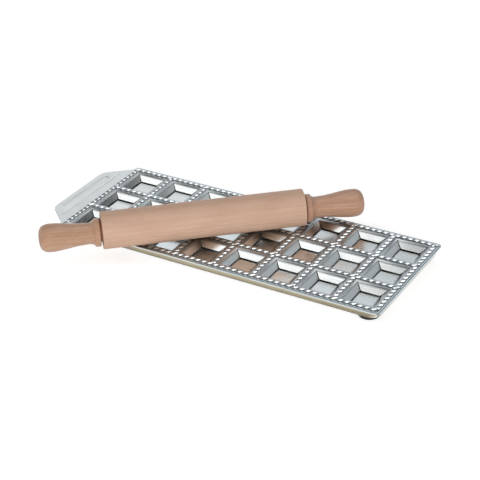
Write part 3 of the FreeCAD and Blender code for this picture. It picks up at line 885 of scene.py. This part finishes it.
@dataclass
class RollingPin:
    """The beech pin: a barrel that turns on bushes on a steel rod, between two turned handles."""

    frame_body: str = "pin_frame"
    roller_body: str = "pin_roller"
    wood_segments: int = 160
    bush_segments: int = 96
    rod_segments: int = 64
    barrel_stations: int = 25
    edge_round: float = 0.4 * MM
    bore: float = 5.0 * MM
    rod_radius: float = 3.0 * MM
    rod_in_handle: float = 32.0 * MM
    running_clearance: float = 1.4 * MM
    bush_radius: float = 6.0 * MM
    bush_length: float = 14.0 * MM
    bush_flange_radius: float = 8.5 * MM
    bush_flange: float = 1.2 * MM
    bush_ease: float = 0.25 * MM
    rod_ease: float = 0.5 * MM
    end_play: float = 0.2 * MM
    handle_length: float = 49.4 * MM
    collar_length: float = 4.8 * MM
    collar_round: float = 0.9 * MM
    cove_step: float = 1.1 * MM
    neck_radius: float = 8.9 * MM
    neck_from_face: float = 12.6 * MM
    swell_radius: float = 11.6 * MM
    swell_from_end: float = 9.8 * MM
    dome_fullness: float = 0.75
    bore_past_rod: float = 1.0 * MM
    turn: float = field(init=False)
    middle: Vector = field(init=False)
    rod_middle: Vector = field(init=False)
    barrel_radius: float = field(init=False)
    barrel_half: float = field(init=False)
    collar_radius: float = field(init=False)

    def __post_init__(self) -> None:
        """Reads the pin's place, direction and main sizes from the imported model.

        The barrel's box is its length times the cosine of its turn, plus its diameter times the sine. The rod
        hangs in the wide bores of the bushes, so it and the handles lie a little lower than the barrel.
        """
        spin = next(joint for joint in frame["joints"] if joint["name"] == "barrel_spin")
        self.turn = math.atan2(spin["axis"][1], spin["axis"][0])
        low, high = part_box("pin_barrel")
        self.middle = (low + high) / 2
        self.barrel_radius = (high.z - low.z) / 2
        diameter_share = 2 * self.barrel_radius * math.sin(self.turn)
        self.barrel_half = (high.x - low.x - diameter_share) / math.cos(self.turn) / 2
        handle_low, handle_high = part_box("left_handle")
        self.collar_radius = (handle_high.z - handle_low.z) / 2
        self.rod_middle = Vector((self.middle.x, self.middle.y, (handle_low.z + handle_high.z) / 2))

    @property
    def face(self) -> float:
        """Distance of a handle's inner face from the middle of the barrel."""
        return self.barrel_half + self.bush_flange + self.end_play

    def laid(self, patch: Patch, middle: Vector, end: PinEnd = PinEnd.RIGHT) -> Patch:
        """Moves a surface from the X axis to the pin's line through a middle, turned round at the left."""
        points, faces = patch
        facing = self.turn + (math.pi if end is PinEnd.LEFT else 0.0)
        rotation = np.array(Matrix.Rotation(facing, 3, "Z"))
        return points @ rotation.T + np.array(middle), faces

    def turned(self, name: str, profile: np.ndarray, segments: int, middle: Vector,
               end: PinEnd = PinEnd.RIGHT) -> bpy.types.Object:
        """Makes a piece of the pin by turning its profile about the pin's direction through a middle."""
        return new_piece(name, [self.laid(revolve(profile, segments), middle, end)])

    def barrel_profile(self) -> np.ndarray:
        """Closed half section of the barrel: eased outer edges, faces, bush seats and bore."""
        half = self.barrel_half
        radius = self.barrel_radius
        ease = self.edge_round
        right = arc((half - ease, radius - ease), ease, 90, 0, steps=5)
        seat = np.array([[half, self.bush_radius], [half - self.bush_length, self.bush_radius],
                         [half - self.bush_length, self.bore]])
        right = np.concatenate([right, seat])
        left = right[::-1] * np.array([-1, 1])
        stations = np.linspace(-(half - ease), half - ease, self.barrel_stations)[1:-1]
        outside = np.stack([stations, np.full_like(stations, radius)], -1)
        return np.concatenate([left, outside, right, left[:1]])

    def handle_profile(self) -> np.ndarray:
        """Closed half section of a handle: rounded collar, cove, neck, swell, dome and rod bore."""
        face = self.face
        end = face + self.handle_length
        collar_end = face + self.collar_length
        ease = self.collar_round
        shoulder = self.collar_radius - ease
        cove = (collar_end, self.collar_radius - self.cove_step)
        neck = (face + self.neck_from_face, self.neck_radius)
        grip = (end - self.swell_from_end, self.swell_radius)
        dip = (neck[0] - cove[0]) / 3
        rise = (grip[0] - neck[0]) / 3
        bore_end = face + self.rod_in_handle + self.bore_past_rod
        fullness = self.dome_fullness
        return np.concatenate([
            [[face, self.rod_radius]],
            arc((face + ease, shoulder), ease, 180, 90, steps=6),
            arc((collar_end - ease, shoulder), ease, 90, 0, steps=6),
            bezier([cove, (cove[0] + dip, cove[1] - dip), (neck[0] - dip, neck[1]), neck], steps=10),
            bezier([neck, (neck[0] + rise, neck[1]), (grip[0] - rise, grip[1]), grip], steps=20)[1:],
            bezier([grip, (grip[0] + fullness * self.swell_from_end, grip[1]),
                    (end, fullness * self.swell_radius), (end, 0.0)], steps=18)[1:],
            [[bore_end, 0.0], [bore_end, self.rod_radius], [face, self.rod_radius]],
        ])

    def bush_profile(self) -> np.ndarray:
        """Closed half section of a bush: sleeve in the barrel, and flange outside it with an eased rim."""
        inner = self.barrel_half - self.bush_length
        outer = self.barrel_half + self.bush_flange
        bore = self.rod_radius + self.running_clearance
        ease = self.bush_ease
        rim = arc((outer - ease, self.bush_flange_radius - ease), ease, 90, 0, steps=4)
        return np.concatenate([
            [[inner, bore], [inner, self.bush_radius], [self.barrel_half, self.bush_radius],
             [self.barrel_half, self.bush_flange_radius]],
            rim,
            [[outer, bore], [inner, bore]],
        ])

    def rod_profile(self) -> np.ndarray:
        """Half section of the rod with eased ends, from one end of the axis to the other."""
        end = self.face + self.rod_in_handle
        ease = self.rod_ease
        right = np.array([[end - ease, self.rod_radius], [end, self.rod_radius - ease], [end, 0.0]])
        return np.concatenate([right[::-1] * np.array([-1, 1]), right])

    def build(self) -> None:
        """Makes the barrel, bushes, rod and handles."""
        grain = BARREL_FINISH.material(self.middle, self.turn)
        barrel = self.turned("beech_barrel", self.barrel_profile(), self.wood_segments, self.middle)
        fit_out(barrel, self.roller_body, "pin_barrel", grain)
        rod = self.turned("steel_rod", self.rod_profile(), self.rod_segments, self.rod_middle)
        steel = ROD_FINISH.material(self.rod_middle, self.turn)
        fit_out(rod, self.frame_body, "pin_axle", steel)
        plastic = BUSH_FINISH.material()
        for end in PinEnd:
            side = end.name.lower()
            bush = self.turned(f"{side}_flanged_bush", self.bush_profile(), self.bush_segments,
                               self.middle, end)
            fit_out(bush, self.roller_body, f"{side}_bush", plastic)
            handle = self.turned(f"{side}_turned_handle", self.handle_profile(), self.wood_segments,
                                 self.rod_middle, end)
            wood = HANDLE_FINISHES[end].material(self.rod_middle, self.turn)
            fit_out(handle, self.frame_body, f"{side}_handle", wood)


# Studio
def directions(azimuth: float | np.ndarray, height: float | np.ndarray) -> np.ndarray:
    """Unit vectors at azimuths from +X towards +Y and at heights above the table, both in degrees.

    Each is (cos h cos a, cos h sin a, sin h).
    """
    around, up = np.radians(azimuth), np.radians(height)
    parts = (np.cos(up) * np.cos(around), np.cos(up) * np.sin(around), np.sin(up))
    return np.stack(np.broadcast_arrays(*parts), -1)


@dataclass(frozen=True)
class Screen:
    """A curved card that only metal sees, which gives it a darker tone to reflect.

    It covers a range of azimuths and of heights round the mould, and its edges fade out over a share of its
    size.
    """

    name: str
    azimuths: Range
    heights: Range
    tone: float
    distance: float
    fade: float = 0.25
    tint: Colour = (1.0, 1.07, 1.14)
    columns: int = 33
    rows: int = 17

    def points(self) -> np.ndarray:
        """Grid of points at one distance from the origin, by azimuth and height."""
        azimuth = np.linspace(*self.azimuths, self.columns)[:, None]
        height = np.linspace(*self.heights, self.rows)[None, :]
        return self.distance * directions(azimuth, height)

    def material(self) -> bpy.types.Material:
        """An even glow of the card's tone that turns clear towards its edges, by its own UV map."""
        recipe = Recipe.new(self.name)
        place = recipe.split(recipe.node("UVMap").outputs[0])
        cover = recipe.times(*(recipe.spread(place[axis], edge, abs(edge - self.fade))
                               for axis in (0, 1) for edge in (0.0, 1.0)))
        clear = recipe.node("BsdfTransparent")
        glow = recipe.node("Emission", {"Color": tuple(self.tone * part for part in self.tint)})
        return recipe.surface(recipe.node("MixShader", {0: cover, 1: clear.outputs[0], 2: glow.outputs[0]}))

    def build(self) -> None:
        """Hangs the card in the studio, seen by glossy rays alone."""
        mesh = bpy.data.meshes.new(self.name)
        mesh.from_pydata(self.points().reshape(-1, 3).tolist(), [], grid_faces(self.columns, self.rows))
        across, up = np.meshgrid(np.linspace(0, 1, self.columns), np.linspace(0, 1, self.rows), indexing="ij")
        per_point = np.stack([across.ravel(), up.ravel()], -1)
        corners = np.empty(len(mesh.loops), np.int32)
        mesh.loops.foreach_get("vertex_index", corners)
        mesh.uv_layers.new(name="card").data.foreach_set("uv", per_point[corners].ravel())
        mesh.materials.append(self.material())
        card = put_in_scene(self.name, mesh)
        for rays in ("camera", "diffuse", "shadow", "transmission"):
            setattr(card, f"visible_{rays}", False)


@dataclass(frozen=True)
class Softbox:
    """A round soft light that points at the mould.

    A fill light isn't mirrored in the metal. A light that isn't lighting is only seen in reflections.
    """

    name: str
    azimuth: float
    height: float
    distance: float
    size: float
    radiance: float
    mirrored: bool = True
    lighting: bool = True

    def build(self) -> None:
        """Hangs the light. Its power is its radiance times pi times its area."""
        lamp = bpy.data.lights.new(self.name, "AREA")
        lamp.shape = "DISK"
        lamp.size = self.size
        lamp.energy = self.radiance * math.pi * math.pi * self.size ** 2 / 4
        light = put_in_scene(self.name, lamp)
        light.visible_glossy = self.mirrored
        light.visible_diffuse = self.lighting
        way = Vector(directions(self.azimuth, self.height))
        light.location = way * self.distance
        light.rotation_euler = way.to_track_quat("Z", "Y").to_euler()


@dataclass
class Studio:
    """Camera, floor, backdrop light, softboxes and cards.

    The camera looks at a point over the pocket grid, level with the tops of the ridges, from the
    photograph's direction and distance.
    """

    ridges: CrimpRidges
    azimuth: float = 31.63
    elevation: float = 30.10
    roll: float = -2.03
    distance: float = 1190.8 * MM
    aside: tuple[float, float] = (5.35 * MM, 5.66 * MM)
    focal_pixels: float = 1454.9
    frame_pixels: int = 480
    sensor: float = 36.0
    clip_start: float = 0.05
    floor_half: float = 6.0
    floor_tone: float = 0.8
    floor_roughness: float = 0.9
    floor_lift: float = 0.62
    ambient: float = 0.34
    softboxes: tuple[Softbox, ...] = (
        Softbox("key_softbox", -140.0, 52.0, 1.5, 0.7, 1.35),
        Softbox("top_softbox", 72.0, 72.0, 1.3, 0.9, 1.05, lighting=False),
        Softbox("front_fill", -60.0, 12.0, 1.6, 1.2, 5.4, mirrored=False),
        Softbox("back_fill", 128.0, 12.0, 1.6, 1.2, 2.6, mirrored=False),
    )
    screens: tuple[Screen, ...] = (
        Screen("camera_card", (-112.0, 6.0), (2.0, 60.0), 0.05, 2.2, 0.16),
        Screen("front_card", (-166.0, -100.0), (-2.0, 34.0), 0.1, 2.3, 0.2),
        Screen("right_card", (-10.0, 84.0), (3.0, 35.0), 0.44, 2.0, 0.2),
        Screen("back_card", (90.0, 134.0), (-4.0, 40.0), 0.84, 2.1, 0.2),
        Screen("corner_card", (16.0, 122.0), (33.0, 47.0), 0.03, 1.9, 0.12),
        Screen("left_card", (120.0, 262.0), (33.0, 80.0), 0.04, 2.5, 0.12),
    )

    def build_camera(self) -> None:
        """Places the camera about the point that it looks at. The azimuth is that of its right hand side."""
        roll = math.radians(self.roll)
        back = Vector(directions(self.azimuth - 90, self.elevation))
        level = Vector(directions(self.azimuth, 0.0))
        upright = back.cross(level)
        right = math.cos(roll) * level + math.sin(roll) * upright
        up = math.cos(roll) * upright - math.sin(roll) * level
        target = Vector((self.ridges.middle.x, self.ridges.middle.y, self.ridges.land + self.ridges.height))
        place = target + back * self.distance - right * self.aside[0] - up * self.aside[1]
        data = bpy.data.cameras.new("photo_camera")
        data.sensor_width = self.sensor
        data.lens = self.sensor * self.focal_pixels / self.frame_pixels
        data.clip_start = self.clip_start
        camera = put_in_scene("photo_camera", data)
        camera.matrix_world = Matrix.Translation(place) @ Matrix((right, up, back)).transposed().to_4x4()
        bpy.context.scene.camera = camera

    def build_world(self) -> None:
        """White where it is seen, and a softer even light on the object."""
        world = bpy.data.worlds.new("white_studio")
        recipe = Recipe(world)
        strength = recipe.spread(recipe.seen_directly(), 0.0, 1.0, self.ambient, 1.0)
        recipe.feed(recipe.tree.nodes["Background"], {"Color": (1.0, 1.0, 1.0), "Strength": strength})
        bpy.context.scene.world = world

    def build_floor(self) -> None:
        """A pale floor, lifted towards white where it is seen, that keeps a trace of the object's shadow."""
        half = self.floor_half
        corners = [(-half, -half, 0.0), (half, -half, 0.0), (half, half, 0.0), (-half, half, 0.0)]
        mesh = bpy.data.meshes.new("studio_floor")
        mesh.from_pydata(corners, [], [(0, 1, 2, 3)])
        recipe = Recipe.new("pale_floor")
        pale = recipe.tree.nodes["Principled BSDF"]
        recipe.feed(pale, {"Base Color": (self.floor_tone,) * 3, "Roughness": self.floor_roughness,
                           "Specular IOR Level": 0.0})
        glow = recipe.node("Emission", {"Strength": recipe.times(recipe.seen_directly(), self.floor_lift)})
        both = recipe.node("AddShader", {0: pale.outputs[0], 1: glow.outputs[0]})
        mesh.materials.append(recipe.surface(both))
        floor = put_in_scene("studio_floor", mesh)

    def build(self) -> None:
        """Sets up the whole studio."""
        bpy.context.scene.view_settings.view_transform = "Standard"
        self.build_camera()
        self.build_world()
        self.build_floor()
        for item in self.softboxes + self.screens:
            item.build()
        LOG.info("studio: camera %.0f mm lens, %d softboxes, %d cards",
                 bpy.context.scene.camera.data.lens, len(self.softboxes), len(self.screens))


def main() -> None:
    """Builds the tray, its ridges, the rolling pin and the studio, in this order."""
    logging.basicConfig(level=logging.INFO, format="%(name)s: %(message)s")
    ridges = CrimpRidges()
    Tray(ridges).build()
    ridges.build()
    RollingPin().build()
    Studio(ridges).build()


if __name__ == "__main__":
    main()
